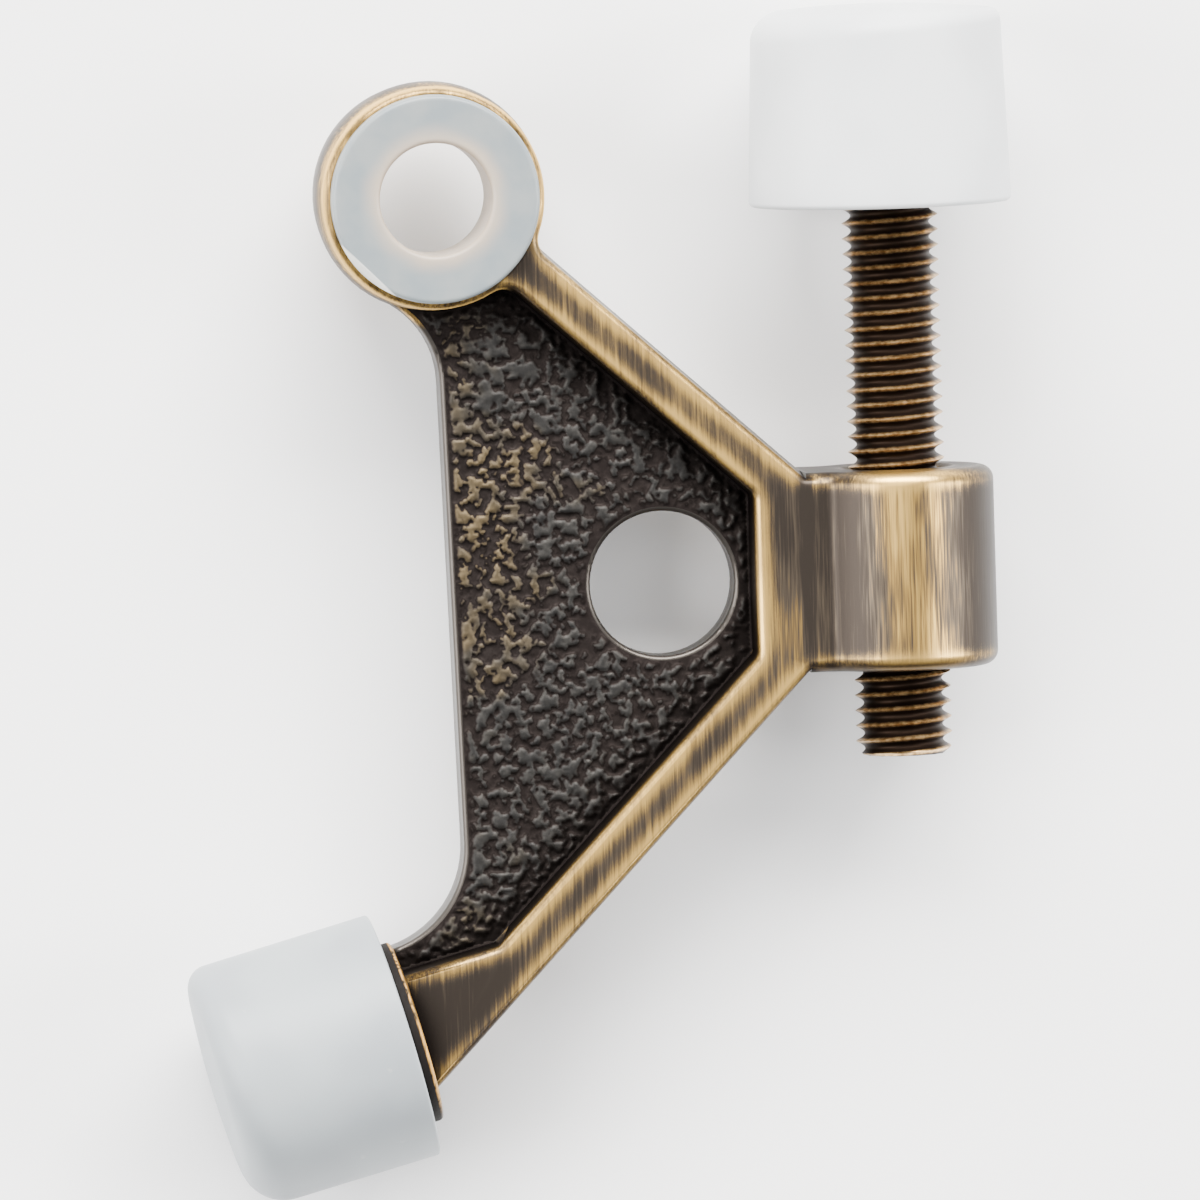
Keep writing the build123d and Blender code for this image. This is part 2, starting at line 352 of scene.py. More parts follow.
brass = {
    # how far rubbed, and the colour there, from patina to worn metal
    "tones": [
        (0.0, (0.036, 0.029, 0.024, 1)),
        (0.3, (0.084, 0.066, 0.048, 1)),
        (0.5, (0.17, 0.112, 0.052, 1)),
        (0.72, (0.38, 0.235, 0.070, 1)),
        (1.0, (0.71, 0.45, 0.130, 1)),
    ],
    # the dark of steep walls, partly patina and partly painted shade
    "side": (0.024, 0.018, 0.014, 1),
    "rim": (0.060, 0.053, 0.047, 1),
    # near black, for the painted shade in corners and for the seam, the stub's disc and the hammered
    # outlines
    "black": (0.006, 0.0045, 0.004, 1),
    "gold": (0.55, 0.30, 0.08, 1),
    "fineStreaks": (9500, 330, 9500),    # cells in a metre along X, Y and Z
    "coarseStreaks": (5200, 170, 5200),
    "patches": (420, 130, 420),
    "edgeReach": 1.7 * mm,               # how far in from an edge the patina is rubbed off
    "nookShadeReach": 2.6 * mm,               # how far out of a corner the painted shade reaches
    "postX": 21.35 * mm,                 # middle of the upright rib
    "creaseX": 23.1 * mm,                # where the ribs meet the boss
    "bossHighlightX": 29.5 * mm,                  # the line along the boss where a painted highlight runs
    "edgeX": 3.2 * mm,                   # the web's free edge
    "seamRadius": 7.83 * mm,             # a dark line round the top of the eye
    "stubPlace": (-3.18 * mm, -53.21 * mm, 0),
    "stubAxis": (math.cos(math.radians(195)), math.sin(math.radians(195)), 0),
    "discMiddle": -0.74 * mm,            # along the stub, from its disc's outer face
    "holePlace": (14.03 * mm, -25.03 * mm, 0),
    "sharpAngle": 35,
}


def toneRamp(tree, value, stops):
    node = addNode(tree, "ShaderNodeValToRGB", {0: value})
    points = node.color_ramp.elements
    while len(points) < len(stops):
        points.new(0.5)
    for point, (place, colour) in zip(points, stops):
        point.position = place
        point.color = colour
    return node.outputs[0]


def openness(tree, reach, inside=False):
    # 1 where nothing is near, less beside a wall, or beside an edge when it looks inside
    node = addNode(tree, "ShaderNodeAmbientOcclusion", {"Distance": reach}, inside=inside, only_local=True,
                   samples=12)
    return node.outputs["AO"]


def rubbedEdges(tree):
    return fade(tree, openness(tree, brass["edgeReach"], inside=True), 0.96, 0.66)


# painted shade, darkest in corners and beside walls
def paintedNookShade(tree, reach=1.0):
    return fade(tree, openness(tree, brass["nookShadeReach"] * reach), 0.97, 0.55)


def outFromStub(tree, position):
    # distance along the stub from its disc's outer face
    moved = vectorCalc(tree, "SUBTRACT", position, brass["stubPlace"])
    return vectorCalc(tree, "DOT_PRODUCT", moved, brass["stubAxis"])


def positionBiasWithPaintedLight(tree, position):
    # painted highlight along the boss's middle line and painted shade over the rest of the boss; darker in
    # the crease where the ribs meet the boss, near the eye and near the stub, a touch lighter along the
    # upright rib
    x, y = split(tree, position)[:2]
    eye = fade(tree, vectorCalc(tree, "LENGTH", position), 12 * mm, 8 * mm)
    post = fade(tree, apart(tree, x, brass["postX"]), 1.6 * mm, 0.9 * mm)
    post = times(tree, post, fade(tree, y, -33 * mm, -31.5 * mm))
    crease = fade(tree, apart(tree, x, brass["creaseX"]), 0.65 * mm, 0.15 * mm)
    # painted highlight along the boss's middle, painted shade over the whole boss
    bossHighlightLine = fade(tree, apart(tree, x, brass["bossHighlightX"]), 4.1 * mm, 0.7 * mm)
    boss = fade(tree, x, 23.2 * mm, 24.5 * mm)
    stub = fade(tree, outFromStub(tree, position), -9 * mm, -5 * mm)
    return weighted(tree, (eye, -0.10), (post, 0.03), (crease, -0.28), (bossHighlightLine, 0.47), (boss, -0.17),
                    (stub, -0.26))


def webRim(tree, position):
    # the web's free edge and the rim of its hole keep a smooth grey skin
    x, y, z = split(tree, position)
    atHole = fade(tree, vectorCalc(tree, "DISTANCE", position, brass["holePlace"]), 6.0 * mm, 5.6 * mm)
    atEdge = fade(tree, x, brass["edgeX"] + 0.2 * mm, brass["edgeX"] - 0.2 * mm)
    atEdge = times(tree, atEdge, fade(tree, y, -51.5 * mm, -50.5 * mm))
    inThickness = fade(tree, calc(tree, "ABSOLUTE", z), 1.8 * mm, 1.55 * mm)
    return times(tree, calc(tree, "MAXIMUM", atHole, atEdge), inThickness)


def brushedBrass():
    material, tree, shader, position = startMaterial("brushedAntiqueBrass")
    y, height = split(tree, position)[1:]
    depth = calc(tree, "ABSOLUTE", height)
    facing = split(tree, tree.nodes["Texture Coordinate"].outputs["Normal"])
    level = calc(tree, "ABSOLUTE", facing[2])
    fromEye = vectorCalc(tree, "LENGTH", position)
    awayFromEye = fade(tree, fromEye, 7.9 * mm, 8.6 * mm)
    eyeSide = times(tree, fade(tree, level, 0.8, 0.4), fade(tree, height, -0.5 * mm, 3.4 * mm))
    eyeSide = times(tree, eyeSide, minus(tree, 1.0, awayFromEye))

    # how far the patina is rubbed off, with the painted highlight and painted shade on the boss added in
    fine = grain(tree, position, brass["fineStreaks"], 1.0, 0.6)
    coarse = grain(tree, position, brass["coarseStreaks"], 1.0, 0.5)
    broad = grain(tree, position, brass["patches"], 2.0, 0.5)
    wearAndPaintedLight = weighted(tree, (fine, 0.52), (coarse, 0.46), (broad, 0.70), (rubbedEdges(tree), 0.56),
                    (positionBiasWithPaintedLight(tree, position), 1.0), (eyeSide, 0.36))
    wearAndPaintedLightLevel = fade(tree, wearAndPaintedLight, 0.67, 1.40)
    colour = toneRamp(tree, wearAndPaintedLightLevel, brass["tones"])

    # steep walls keep a dark unbrushed patina, strongest deep in the recesses and on the underside, where it
    # also stands as painted shade; faces that point towards the lower end get painted shade
    wallPatinaAndShade = times(tree, awayFromEye, fade(tree, depth, 3.9 * mm, 3.2 * mm, 0.4, 1.0))
    wallPatinaAndShade = calc(tree, "MAXIMUM", fade(tree, height, 2.0 * mm, -3.0 * mm), wallPatinaAndShade)
    steep = times(tree, fade(tree, level, 0.7, 0.2, 0.0, 0.85), wallPatinaAndShade)
    colour = blendColour(tree, steep, colour, brass["side"])
    # painted shade on faces that point towards the lower end
    low = times(tree, fade(tree, facing[1], -0.2, -0.6, 0.0, 0.9), awayFromEye)
    colour = blendColour(tree, low, colour, brass["side"])
    colour = blendColour(tree, times(tree, webRim(tree, position), awayFromEye), colour, brass["rim"])
    # painted shade in corners and recesses
    colour = blendColour(tree, paintedNookShade(tree), colour, brass["black"])

    # the dark line round the eye's top, broken up by the clouds
    seam = fade(tree, apart(tree, fromEye, brass["seamRadius"]), 0.14 * mm, 0.05 * mm)
    seam = times(tree, seam, fade(tree, height, 3.7 * mm, 3.9 * mm))
    seam = times(tree, seam, fade(tree, grain(tree, position, evenly(700)), 0.35, 0.65, 0.25, 0.7))
    colour = blendColour(tree, seam, colour, brass["black"])

    # the stub's disc is black, with gold on the rim
    stub = outFromStub(tree, position)
    disc = times(tree, fade(tree, stub, -0.80 * mm, -0.62 * mm), fade(tree, stub, 0.2 * mm, 0.1 * mm))
    colour = blendColour(tree, disc, colour, brass["black"])
    rim = fade(tree, apart(tree, stub, brass["discMiddle"]), 0.17 * mm, 0.05 * mm)
    rim = times(tree, rim, fade(tree, y, -58.5 * mm, -55.5 * mm))
    colour = blendColour(tree, times(tree, rim, fade(tree, coarse, 0.3, 0.6)), colour, brass["gold"])

    feed(tree, shader.inputs["Base Color"], colour)
    shader.inputs["Specular IOR Level"].default_value = 0.15
    metallic = calc(tree, "SUBTRACT", fade(tree, eyeSide, 0.0, 0.7, 0.92, 0.4), disc, clamp=True)
    feed(tree, shader.inputs["Metallic"], metallic)
    satin = fade(tree, wearAndPaintedLightLevel, 0.0, 1.0, 0.44, 0.32)
    feed(tree, shader.inputs["Roughness"], weighted(tree, (satin, 1.0), (eyeSide, 0.4), (disc, 0.4)))
    bumpFrom(tree, shader, fine, 0.22, 0.02 * mm)
    return material


web = {
    "height": 1.5 * mm,              # the web's faces lie this far from the mid-plane
    "flatness": 0.002 * mm,
    "edgeSpacing": 0.2,              # millimetres between the points of the outline
    "spacing": 0.18,                 # and between those of the hammered skin
    "rimJitter": 0.0004,
    "gridJitter": 0.15,              # of the spacing
    "rimClearance": 0.6,             # of the spacing
    "seed": 7,
    "relief": 0.2 * mm,
    "wormSize": 1.75,                # cells in a millimetre
    "wanderSize": 1.3,
    "wander": 1.1,                   # how far the worms are bent, in millimetres
    "dropSize": 1.7,
    "levelSize": 2.4,
    "middleY": -22 * mm,
    "topTones": ((0.025, 0.0240, 0.0232, 1), (0.038, 0.036, 0.0335, 1)),
    "valleyTones": ((0.014, 0.0108, 0.0100, 1), (0.022, 0.0175, 0.0162, 1)),
    "touchedTone": (0.115, 0.085, 0.045, 1),
}


def hammeredBrass():
    material, tree, shader, position = startMaterial("hammeredAntiqueBrass")
    relief = addNode(tree, "ShaderNodeAttribute", attribute_name="relief").outputs["Fac"]
    mottle = grain(tree, position, evenly(1400), 3.0, 0.6)
    top = blendColour(tree, fade(tree, mottle, 0.35, 0.7), *web["topTones"])
    valley = blendColour(tree, fade(tree, mottle, 0.4, 0.7), *web["valleyTones"])

    # the plateaus near the middle of the free edge are touched with gold
    x, y = split(tree, position)[:2]
    fromLeft = fade(tree, minus(tree, x, brass["edgeX"]), 9 * mm, -2 * mm)
    fromMiddle = fade(tree, apart(tree, y, web["middleY"]), 13 * mm, 3 * mm)
    touched = weighted(tree, (fromLeft, 0.40), (fromMiddle, 0.30), (grain(tree, position, evenly(330)), 1.0))
    top = blendColour(tree, fade(tree, touched, 0.92, 1.3, 0.0, 0.75), top, web["touchedTone"])

    outline = times(tree, fade(tree, relief, 0.02, 0.12), fade(tree, relief, 0.45, 0.2))
    colour = blendColour(tree, fade(tree, relief, 0.25, 0.8), valley, top)
    colour = blendColour(tree, times(tree, outline, 0.6), colour, brass["black"])
    # painted shade beside the recess walls
    colour = blendColour(tree, paintedNookShade(tree, 1.3), colour, brass["black"])
    feed(tree, shader.inputs["Base Color"], colour)
    shader.inputs["Metallic"].default_value = 0.9
    shader.inputs["Specular IOR Level"].default_value = 0.2
    feed(tree, shader.inputs["Roughness"], fade(tree, relief, 0.0, 1.0, 0.6, 0.52))
    bumpFrom(tree, shader, grain(tree, position, evenly(4200)), 0.15, 0.03 * mm)
    return material


def insideOutline(points, edges):
    inside = np.zeros(len(points), bool)
    for (ax, ay), (bx, by) in edges:
        crosses = (ay > points[:, 1]) != (by > points[:, 1])
        with np.errstate(divide="ignore", invalid="ignore"):
            x = ax + (points[:, 1] - ay) * (bx - ax) / (by - ay)
        inside ^= crosses & (points[:, 0] < x)
    return inside


def distanceToOutline(points, edges):
    nearest = np.full(len(points), 1e9)
    for a, b in edges:
        along = b - a
        t = np.clip(((points - a) @ along) / (along @ along), 0, 1)
        nearest = np.minimum(nearest, np.linalg.norm(points - a - t[:, None] * along, axis=1))
    return nearest


def facesInside(points, faces, walls, segments):
    # gathers the faces into regions fenced by the outline, and keeps the regions that lie inside it
    beside = {}
    for k, face in enumerate(faces):
        for pair in zip(face, face[1:] + face[:1]):
            if frozenset(pair) not in walls:
                beside.setdefault(frozenset(pair), []).append(k)
    neighbours = {}
    for pair in beside.values():
        for k in pair:
            neighbours.setdefault(k, []).extend(pair)
    corners = np.array([[points[k][:] for k in face] for face in faces])
    sides = corners[:, 1:] - corners[:, :1]
    areas = np.abs(sides[:, 0, 0] * sides[:, 1, 1] - sides[:, 0, 1] * sides[:, 1, 0])
    votes = np.where(insideOutline(corners.mean(1), segments), areas, -areas)
    kept = []
    seen = set()
    for start in range(len(faces)):
        region = []
        queue = [] if start in seen else [start]
        seen.add(start)
        while queue:
            k = queue.pop()
            region.append(k)
            fresh = set(neighbours.get(k, [])) - seen
            seen |= fresh
            queue.extend(fresh)
        if region and votes[region].sum() > 0:
            kept.extend(faces[k] for k in region)
    return kept


def openWeb(bm, side):
    # takes out the flat face of the web and gives its outline closely spaced points
    level = side * web["height"]
    flat = [f for f in bm.faces if all(abs(v.co.z - level) < web["flatness"] for v in f.verts)]
    bmesh.ops.delete(bm, geom=flat, context="FACES")
    rim = [e for e in bm.edges if e.is_boundary]
    groups = {}
    for edge in rim:
        cuts = math.ceil(edge.calc_length() / mm / web["edgeSpacing"]) - 1
        if cuts > 0:
            groups.setdefault(cuts, []).append(edge)
    for cuts, edges in groups.items():
        bmesh.ops.subdivide_edges(bm, edges=edges, cuts=cuts)
    return [e for e in bm.edges if e.is_boundary]


def fillWeb(bm, side, rim, marginLayer, sideLayer):
    verts = list(dict.fromkeys(v for e in rim for v in e.verts))
    index = {v: k for k, v in enumerate(verts)}
    rng = np.random.default_rng(web["seed"])
    flat = np.array([(v.co.x / mm, v.co.y / mm) for v in verts])
    # no three points stay in line, so that no triangle is flat
    flat += rng.uniform(-web["rimJitter"], web["rimJitter"], flat.shape)
    edges = [(index[e.verts[0]], index[e.verts[1]]) for e in rim]
    segments = [(flat[a], flat[b]) for a, b in edges]
    step = web["spacing"]
    low = flat.min(0)
    high = flat.max(0)
    rows = np.arange(low[1], high[1], step * math.sqrt(3) / 2)
    columns = np.arange(low[0], high[0], step)
    grid = np.array([(x + (k % 2) * step / 2, y) for k, y in enumerate(rows) for x in columns])
    grid += rng.uniform(-web["gridJitter"], web["gridJitter"], grid.shape) * step
    grid = grid[insideOutline(grid, segments)]
    distance = distanceToOutline(grid, segments)
    keep = distance > web["rimClearance"] * step
    grid = grid[keep]
    distance = distance[keep]
    points = [Vector(p) for p in np.vstack([flat, grid])]
    wholeHull = 0
    out = delaunay_2d_cdt(points, edges, [], wholeHull, 1e-6, True)
    outVerts, outEdges, outFaces, origins, edgeOrigins = out[:5]
    walls = {frozenset(e) for e, origin in zip(outEdges, edgeOrigins) if origin}
    filled = facesInside(outVerts, outFaces, walls, segments)
    made = []
    for k, place in enumerate(outVerts):
        source = origins[k][0] if origins[k] else -1
        if 0 <= source < len(verts):
            made.append(verts[source])
            verts[source][sideLayer] = side
            continue
        vert = bm.verts.new((place.x * mm, place.y * mm, side * web["height"]))
        vert[marginLayer] = distance[source - len(verts)] if source >= 0 else 0.0
        vert[sideLayer] = side
        made.append(vert)
    for corners in filled:
        if side < 0:
            corners = corners[::-1]
        face = bm.faces.new([made[k] for k in corners])
        face.material_index = 1


def readAttribute(tree, name):
    node = addNode(tree, "GeometryNodeInputNamedAttribute", {"Name": name}, data_type="FLOAT")
    return node.outputs[0]


def hammerTree():
    # lifts worm-like plateaus out of the web, and stores how high each point stands for the material
    sizes = {"Relief": web["relief"], "Cells per mm": web["wormSize"], "Seed": float(web["seed"])}
    tree, given = startTree("hammer", "Geometry", sizes, "Skin")
    margin = readAttribute(tree, "margin")
    side = readAttribute(tree, "webSide")
    place = scaled(tree, addNode(tree, "GeometryNodeInputPosition").outputs[0], 1 / mm)
    seed = add(tree, given["Seed"], side)

    def noise(position, scale, detail, output=0):
        inputs = {"Vector": position, "W": seed, "Scale": scale, "Detail": detail, "Roughness": 0.5}
        return addNode(tree, "ShaderNodeTexNoise", inputs, noise_dimensions="4D").outputs[output]

    wander = vectorCalc(tree, "SUBTRACT", noise(place, web["wanderSize"], 1.0, 1), (0.5, 0.5, 0.5))
    bent = vectorCalc(tree, "ADD", place, scaled(tree, wander, web["wander"]))
    worms = fade(tree, noise(bent, given["Cells per mm"], 1.0), 0.45, 0.56)
    drops = addNode(tree, "ShaderNodeTexVoronoi", {"Vector": bent, "Scale": web["dropSize"]})
    drops = fade(tree, drops.outputs["Distance"], 0.26, 0.14, 0.0, 0.7)
    level = fade(tree, noise(place, web["levelSize"], 2.0), 0.25, 0.75, 0.7, 1.05)
    raised = times(tree, calc(tree, "MAXIMUM", worms, drops), level)
    raised = times(tree, raised, fade(tree, margin, 0.05, 0.45))
    lift = times(tree, times(tree, raised, given["Relief"]), side)
    offset = addNode(tree, "ShaderNodeCombineXYZ", {"Z": lift}).outputs[0]
    inputs = {"Geometry": given["Geometry"], "Name": "relief", "Value": raised}
    stored = addNode(tree, "GeometryNodeStoreNamedAttribute", inputs, data_type="FLOAT").outputs[0]
    moved = addNode(tree, "GeometryNodeSetPosition", {"Geometry": stored, "Offset": offset}).outputs[0]
    onWeb = addNode(tree, "GeometryNodeInputMaterialIndex").outputs[0]
    endTree(tree, moved, given["Skin"], onWeb)
    return tree


def makeBracket():
    bm = bmesh.new()
    bm.from_mesh(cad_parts["bracket"].data)
    bmesh.ops.remove_doubles(bm, verts=bm.verts, dist=weld)
    bmesh.ops.dissolve_degenerate(bm, edges=bm.edges, dist=weld)
    for face in bm.faces:
        face.material_index = 0
    marginLayer = bm.verts.layers.float.new("margin")
    sideLayer = bm.verts.layers.float.new("webSide")
    for side in (1, -1):
        rim = openWeb(bm, side)
        fillWeb(bm, side, rim, marginLayer, sideLayer)
    bm.normal_update()
    skin = hammeredBrass()
    piece = meshObject(bm, "bracket_casting", brushedBrass(), skin)
    runTree(piece, hammerTree(), "Skin", skin)
    smoothByFaces(piece, brass["sharpAngle"])
    settle(piece, "frame", "bracket")


makeBracket()


bushing = {
    "flangeRadius": 6.6 * mm,
    "boreRadius": 3.55 * mm,
    "sleeveRadius": 4.2 * mm,
    "top": 5.4 * mm,
    "seat": 4.1 * mm,
    "length": 5.7 * mm,
    "round": 0.3 * mm,
    "gateAngle": 225,
    "gateOffset": 6.2 * mm,
    "gateSlope": 20,
    "topRows": 20,
    "sideRows": 4,
    "roundSteps": 6,
    "segments": 240,
    "sharpAngle": 40,
    "tones": ((0.166, 0.193, 0.206, 1), (0.202, 0.222, 0.224, 1)),
    "boreTone": (0.375, 0.305, 0.235, 1),
    "gateHighlightTone": (0.62, 0.62, 0.58, 1),
}


def bushingSection():
    b = bushing
    top = b["top"]
    bottom = top - b["length"]
    turn = b["round"]
    steps = b["roundSteps"]
    start = b["boreRadius"] + turn
    end = b["flangeRadius"] - turn
    fall = (top - turn - b["seat"]) / b["sideRows"]
    points = [(b["boreRadius"], bottom)]
    points += ringArc(start, top - turn, turn, 180, 90, steps)
    points += [(start + (end - start) * k / b["topRows"], top) for k in range(1, b["topRows"])]
    points += ringArc(end, top - turn, turn, 90, 0, steps)
    points += [(b["flangeRadius"], top - turn - fall * k) for k in range(1, b["sideRows"] + 1)]
    points += [(b["sleeveRadius"], b["seat"]), (b["sleeveRadius"], bottom)]
    return [(r, z, 0) for r, z in points]


def gateDirection():
    angle = math.radians(bushing["gateAngle"])
    return Vector((math.cos(angle), math.sin(angle), 0))


def cutGateFlat(bm):
    # the flange's rim has a sloping flat where the moulding's gate was cut off
    out = gateDirection()
    slope = math.tan(math.radians(bushing["gateSlope"]))
    for vert in bm.verts:
        limit = bushing["gateOffset"] + (bushing["top"] - vert.co.z) * slope
        beyond = vert.co.dot(out) - limit
        if beyond > 0:
            vert.co -= out * beyond


def nylon():
    # milky blue-grey, with a beige ring where the bore shines through and a painted highlight on the gate's
    # flat
    material, tree, shader, position = startMaterial("naturalNylon")
    radius = vectorCalc(tree, "LENGTH", vectorCalc(tree, "MULTIPLY", position, (1, 1, 0)))
    cloud = grain(tree, position, evenly(500))
    reach = add(tree, radius, times(tree, minus(tree, cloud, 0.5), 0.9 * mm))
    body = blendColour(tree, fade(tree, cloud, 0.3, 0.7), *bushing["tones"])
    colour = blendColour(tree, fade(tree, reach, 3.4 * mm, 5.0 * mm), bushing["boreTone"], body)
    # a painted highlight on the flat where the gate was cut off
    toGate = vectorCalc(tree, "DOT_PRODUCT", position, gateDirection())
    colour = blendColour(tree, fade(tree, toGate, 6.12 * mm, 6.22 * mm), colour, bushing["gateHighlightTone"])
    feed(tree, shader.inputs["Base Color"], colour)
    shader.inputs["Roughness"].default_value = 0.38
    glowInside(shader, 0.35, 1.2 * mm)
    bumpFrom(tree, shader, grain(tree, position, evenly(2500)), 0.12, 0.02 * mm)
    return material


def makeBushing():
    bm = lathe(lambda angle: bushingSection(), bushing["segments"], loop=True)
    cutGateFlat(bm)
    piece = meshObject(bm, "nylon_bushing", nylon())
    smoothByFaces(piece, bushing["sharpAngle"])
    settle(piece, "frame", "bushing")


makeBushing()


screw = {
    "x": 29.36 * mm,
    "tip": -36.5 * mm,
    "head": 1.55 * mm,               # height of the head's underside
    "pitch": 0.969 * mm,
    "phase": 206.6,                  # degrees, keeps the thread in step with the tapped boss
    "radius": 3.1 * mm,
    "depth": 0.61 * mm,
    "tipChamfer": 0.5 * mm,
    "crestFlat": 0.05,               # of the depth
    "headRadius": 5.0 * mm,
    "headThickness": 2.2 * mm,
    "headChamfer": 0.6 * mm,
    "headSegments": 96,
    "segments": 84,
    "rowsPerTurn": 14,
    "turnsBelow": 2,                 # spare turns that close the sheet's two ends
    "turnsAbove": 1,
    "weld": 0.002 * mm,
    "sharpAngle": 50,
    # painted shade in the grooves and painted highlight on the crests
    "grooveShadeTone": (0.013, 0.007, 0.004, 1),
    "crestHighlightTones": ((0.34, 0.19, 0.07, 1), (0.85, 0.58, 0.28, 1)),
}


def alongScrew(y):
    # local Z runs along the screw from height y
    return Matrix(((1, 0, 0, screw["x"]), (0, 0, 1, y), (0, -1, 0, 0), (0, 0, 0, 1)))


def threadTree():
    # a sheet that climbs one pitch a turn is wrapped round the axis: each row is one height on the ridge
    length = screw["head"] + screw["headThickness"] / 2 - screw["tip"]
    sizes = {"Pitch": screw["pitch"], "Outer radius": screw["radius"], "Depth": screw["depth"],
             "Length": length, "Tip chamfer": screw["tipChamfer"], "Start turn": screw["phase"] / 360}
    tree, given = startTree("thread", "Head", sizes, "Finish")
    turns = math.ceil(length / screw["pitch"]) + screw["turnsBelow"] + screw["turnsAbove"]
    rows = turns * screw["rowsPerTurn"]
    inputs = {"Size X": 1.0, "Size Y": float(turns), "Vertices X": screw["segments"] + 1,
              "Vertices Y": rows + 1}
    sheet = addNode(tree, "GeometryNodeMeshGrid", inputs).outputs[0]
    place = split(tree, addNode(tree, "GeometryNodeInputPosition").outputs[0])
    around = add(tree, place[0], 0.5)
    ridge = add(tree, place[1], turns / 2 - screw["turnsBelow"])     # whole numbers are on the crest
    climb = minus(tree, add(tree, ridge, around), given["Start turn"])
    height = times(tree, climb, given["Pitch"])

    # the ridge's own shape, with a cone at the tip
    wave = calc(tree, "ABSOLUTE", calc(tree, "SINE", times(tree, ridge, math.pi)))
    wave = calc(tree, "MAXIMUM", wave, screw["crestFlat"])
    thread = minus(tree, given["Outer radius"], times(tree, wave, given["Depth"]))
    tipRadius = minus(tree, given["Outer radius"], given["Tip chamfer"])
    thread = calc(tree, "MINIMUM", thread, add(tree, tipRadius, height))

    # past either end the sheet closes to a point on the axis
    below = calc(tree, "DIVIDE", times(tree, height, -1.0), given["Pitch"], clamp=True)
    above = calc(tree, "DIVIDE", minus(tree, height, given["Length"]), given["Pitch"], clamp=True)
    past = calc(tree, "GREATER_THAN", below, 0.0)
    onThread = minus(tree, 1.0, past)
    thread = add(tree, times(tree, thread, onThread), times(tree, tipRadius, past))
    radius = times(tree, thread, minus(tree, 1.0, add(tree, below, above)))
    level = calc(tree, "MINIMUM", calc(tree, "MAXIMUM", height, 0.0), given["Length"])
    angle = times(tree, around, 2 * math.pi)
    x = times(tree, radius, calc(tree, "COSINE", angle))
    y = times(tree, radius, calc(tree, "SINE", angle))
    wrapped = addNode(tree, "ShaderNodeCombineXYZ", {"X": x, "Y": y, "Z": level}).outputs[0]
    inputs = {"Geometry": sheet, "Name": "crest", "Value": times(tree, minus(tree, 1.0, wave), onThread)}
    crest = addNode(tree, "GeometryNodeStoreNamedAttribute", inputs, data_type="FLOAT").outputs[0]
    rolled = addNode(tree, "GeometryNodeSetPosition", {"Geometry": crest, "Position": wrapped}).outputs[0]
    inputs = {"Geometry": rolled, "Distance": screw["weld"]}
    closed = addNode(tree, "GeometryNodeMergeByDistance", inputs).outputs[0]
    both = addNode(tree, "GeometryNodeJoinGeometry")
    tree.links.new(closed, both.inputs[0])
    tree.links.new(given["Head"], both.inputs[0])
    endTree(tree, both.outputs[0], given["Finish"])
    return tree


def screwBrass():
    # grooves darkened as painted shade, and crests lightened as a painted highlight that the clouds make
    # brighter in places
    material, tree, shader, position = startMaterial("darkThreadBrass")
    crest = addNode(tree, "ShaderNodeAttribute", attribute_name="crest").outputs["Fac"]
    wearAndPaintedLight = grain(tree, position, evenly(2200), 3.0, 0.6)
    ridge = add(tree, crest, times(tree, minus(tree, wearAndPaintedLight, 0.5), 0.25))
    bright = blendColour(tree, fade(tree, wearAndPaintedLight, 0.3, 0.7), *screw["crestHighlightTones"])
    # painted shade in the grooves, painted highlight on the crests
    colour = blendColour(tree, fade(tree, ridge, 0.38, 0.95), screw["grooveShadeTone"], bright)
    feed(tree, shader.inputs["Base Color"], colour)
    shader.inputs["Metallic"].default_value = 0.9
    feed(tree, shader.inputs["Roughness"], fade(tree, ridge, 0.0, 1.0, 0.5, 0.3))
    bumpFrom(tree, shader, wearAndPaintedLight, 0.2, 0.02 * mm)
    return material


def headSection():
    s = screw
    top = s["headThickness"]
    points = [(0, 0), (s["headRadius"], 0), (s["headRadius"], top - s["headChamfer"]),
              (s["headRadius"] - s["headChamfer"], top), (0, top)]
    return [(r, z + s["head"] - s["tip"], 0) for r, z in points]


def makeScrew():
    finish = screwBrass()
    bm = lathe(lambda angle: headSection(), screw["headSegments"])
    piece = meshObject(bm, "adjusting_screw_rod")
    runTree(piece, threadTree(), "Finish", finish)
    bm = bmesh.new()
    bm.from_mesh(piece.data)
    bmesh.ops.dissolve_degenerate(bm, edges=bm.edges, dist=weld)
    bmesh.ops.recalc_face_normals(bm, faces=bm.faces)
    bm.transform(alongScrew(screw["tip"]))
    bm.to_mesh(piece.data)
    bm.free()
    smoothByFaces(piece, screw["sharpAngle"])
    settle(piece, "screw", "adjusting_screw")


makeScrew()


rubber = {
    "segments": 144,
    "crownSteps": 8,
    "cornerSteps": 12,
    "wallSteps": 10,
    "lipSteps": 6,
    "sharpAngle": 40,
    "crown": 0.5 * mm,               # how far the tip's middle stands out
    "speckTone": (0.62, 0.58, 0.54, 1),
    "glow": 1.0 * mm,
}
movingBumper = {
    "mouth": 8.34 * mm,
    "tip": 7.97 * mm,
    "length": 12.7 * mm,
    "shift": -0.56 * mm,
    "neck": 3.18 * mm,
    "pocket": 5.08 * mm,
    "pocketStart": 2.92 * mm,
    "pocketEnd": 5.28 * mm,
    "tipRound": 1.45 * mm,
    "roundGrowth": 0.65 * mm,
    "roundSide": 180,                # the tip's corner is rounder on this side
    "mouthRound": 0.35 * mm,
    "place": -1.45 * mm,
    "tones": ((0.60, 0.62, 0.635, 1), (0.68, 0.70, 0.71, 1)),
}
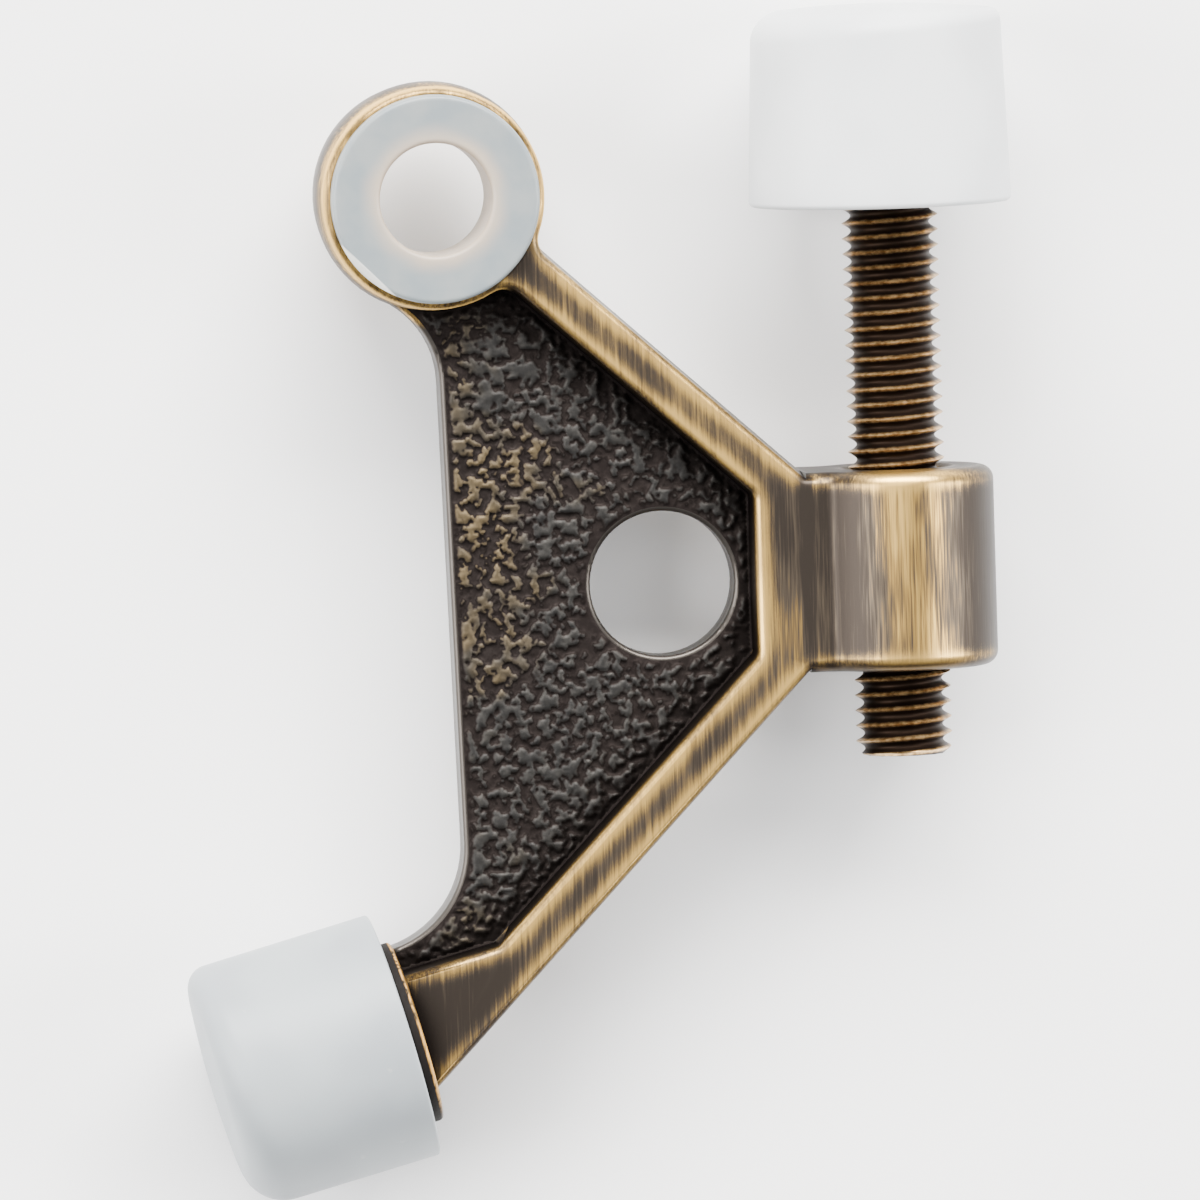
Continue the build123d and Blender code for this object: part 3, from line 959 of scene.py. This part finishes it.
fixedBumper = {
    "mouth": 7.95 * mm,
    "tip": 7.93 * mm,
    "length": 12.55 * mm,
    "shift": 0.0,
    "neck": 2.65 * mm,
    "pocket": 4.25 * mm,
    "pocketStart": 4.15 * mm,
    "pocketEnd": 6.65 * mm,
    "tipRound": 2.1 * mm,
    "roundGrowth": 0.7 * mm,
    "roundSide": 0,
    "mouthRound": 0.15 * mm,
    "gap": 0.05 * mm,                # between the cap and the stub's disc
    "tones": ((0.26, 0.285, 0.305, 1), (0.31, 0.34, 0.355, 1)),
}


def capSection(cap):
    # the section changes with the angle, because the tip's corner is rounder on one side
    def section(angle):
        turn = cap["tipRound"] + cap["roundGrowth"] * math.cos(angle - math.radians(cap["roundSide"]))
        edge = cap["tip"] - turn
        lip = cap["mouthRound"]
        widening = cap["mouth"] - cap["tip"]
        cornerZ = cap["length"] - rubber["crown"] * (edge / cap["tip"])**2 - turn
        slope = math.degrees(math.atan(2 * rubber["crown"] * edge / cap["tip"]**2))
        radii = [edge * k / rubber["crownSteps"] for k in range(1, rubber["crownSteps"])]
        outer = [(0, cap["length"])]
        outer += [(r, cap["length"] - rubber["crown"] * (r / cap["tip"])**2) for r in radii]
        outer += ringArc(edge, cornerZ, turn, 90 - slope, 0, rubber["cornerSteps"])
        for k in range(1, rubber["wallSteps"]):
            part = k / rubber["wallSteps"]
            outer.append((cap["tip"] + widening * part, cornerZ + (lip - cornerZ) * part))
        outer += ringArc(cap["mouth"] - lip, lip, lip, 0, -90, rubber["lipSteps"])
        inner = [(cap["neck"], 0), (cap["neck"], cap["pocketStart"]), (cap["pocket"], cap["pocketStart"]),
                 (cap["pocket"], cap["pocketEnd"]), (0, cap["pocketEnd"])]
        return [(r, z, cap["shift"]) for r, z in outer] + [(r, z, 0) for r, z in inner]
    return section


def whiteRubber(name, tones):
    # cloudy, with a few faint specks
    material, tree, shader, position = startMaterial(name)
    cloud = grain(tree, position, evenly(110), 2.0, 0.45)
    colour = blendColour(tree, fade(tree, cloud, 0.35, 0.65), *tones)
    speck = fade(tree, grain(tree, position, evenly(900)), 0.72, 0.80, 0.0, 0.18)
    colour = blendColour(tree, speck, colour, rubber["speckTone"])
    feed(tree, shader.inputs["Base Color"], colour)
    feed(tree, shader.inputs["Roughness"], fade(tree, cloud, 0.3, 0.7, 0.42, 0.5))
    glowInside(shader, 0.25, rubber["glow"])
    bumpFrom(tree, shader, grain(tree, position, evenly(700), 3.0), 0.15, 0.04 * mm)
    return material


def makeBumper(cap, place, name, finish, body, node):
    bm = lathe(capSection(cap), rubber["segments"])
    bm.transform(place)
    piece = meshObject(bm, name, finish)
    smoothByFaces(piece, rubber["sharpAngle"])
    settle(piece, body, node)


def alongStub():
    # local Z runs along the stub from its disc's outer face
    axis = Vector(brass["stubAxis"])
    across = Vector((-axis.y, axis.x, 0))
    start = Vector(brass["stubPlace"]) + axis * fixedBumper["gap"]
    return Matrix.Translation(start) @ Matrix((across, Vector((0, 0, 1)), axis)).transposed().to_4x4()


makeBumper(movingBumper, alongScrew(movingBumper["place"]), "adjustable_bumper_cap",
           whiteRubber("whiteRubber", movingBumper["tones"]), "bumper", "adjustable_bumper")
makeBumper(fixedBumper, alongStub(), "fixed_bumper_cap",
           whiteRubber("greyWhiteRubber", fixedBumper["tones"]), "frame", "fixed_bumper")
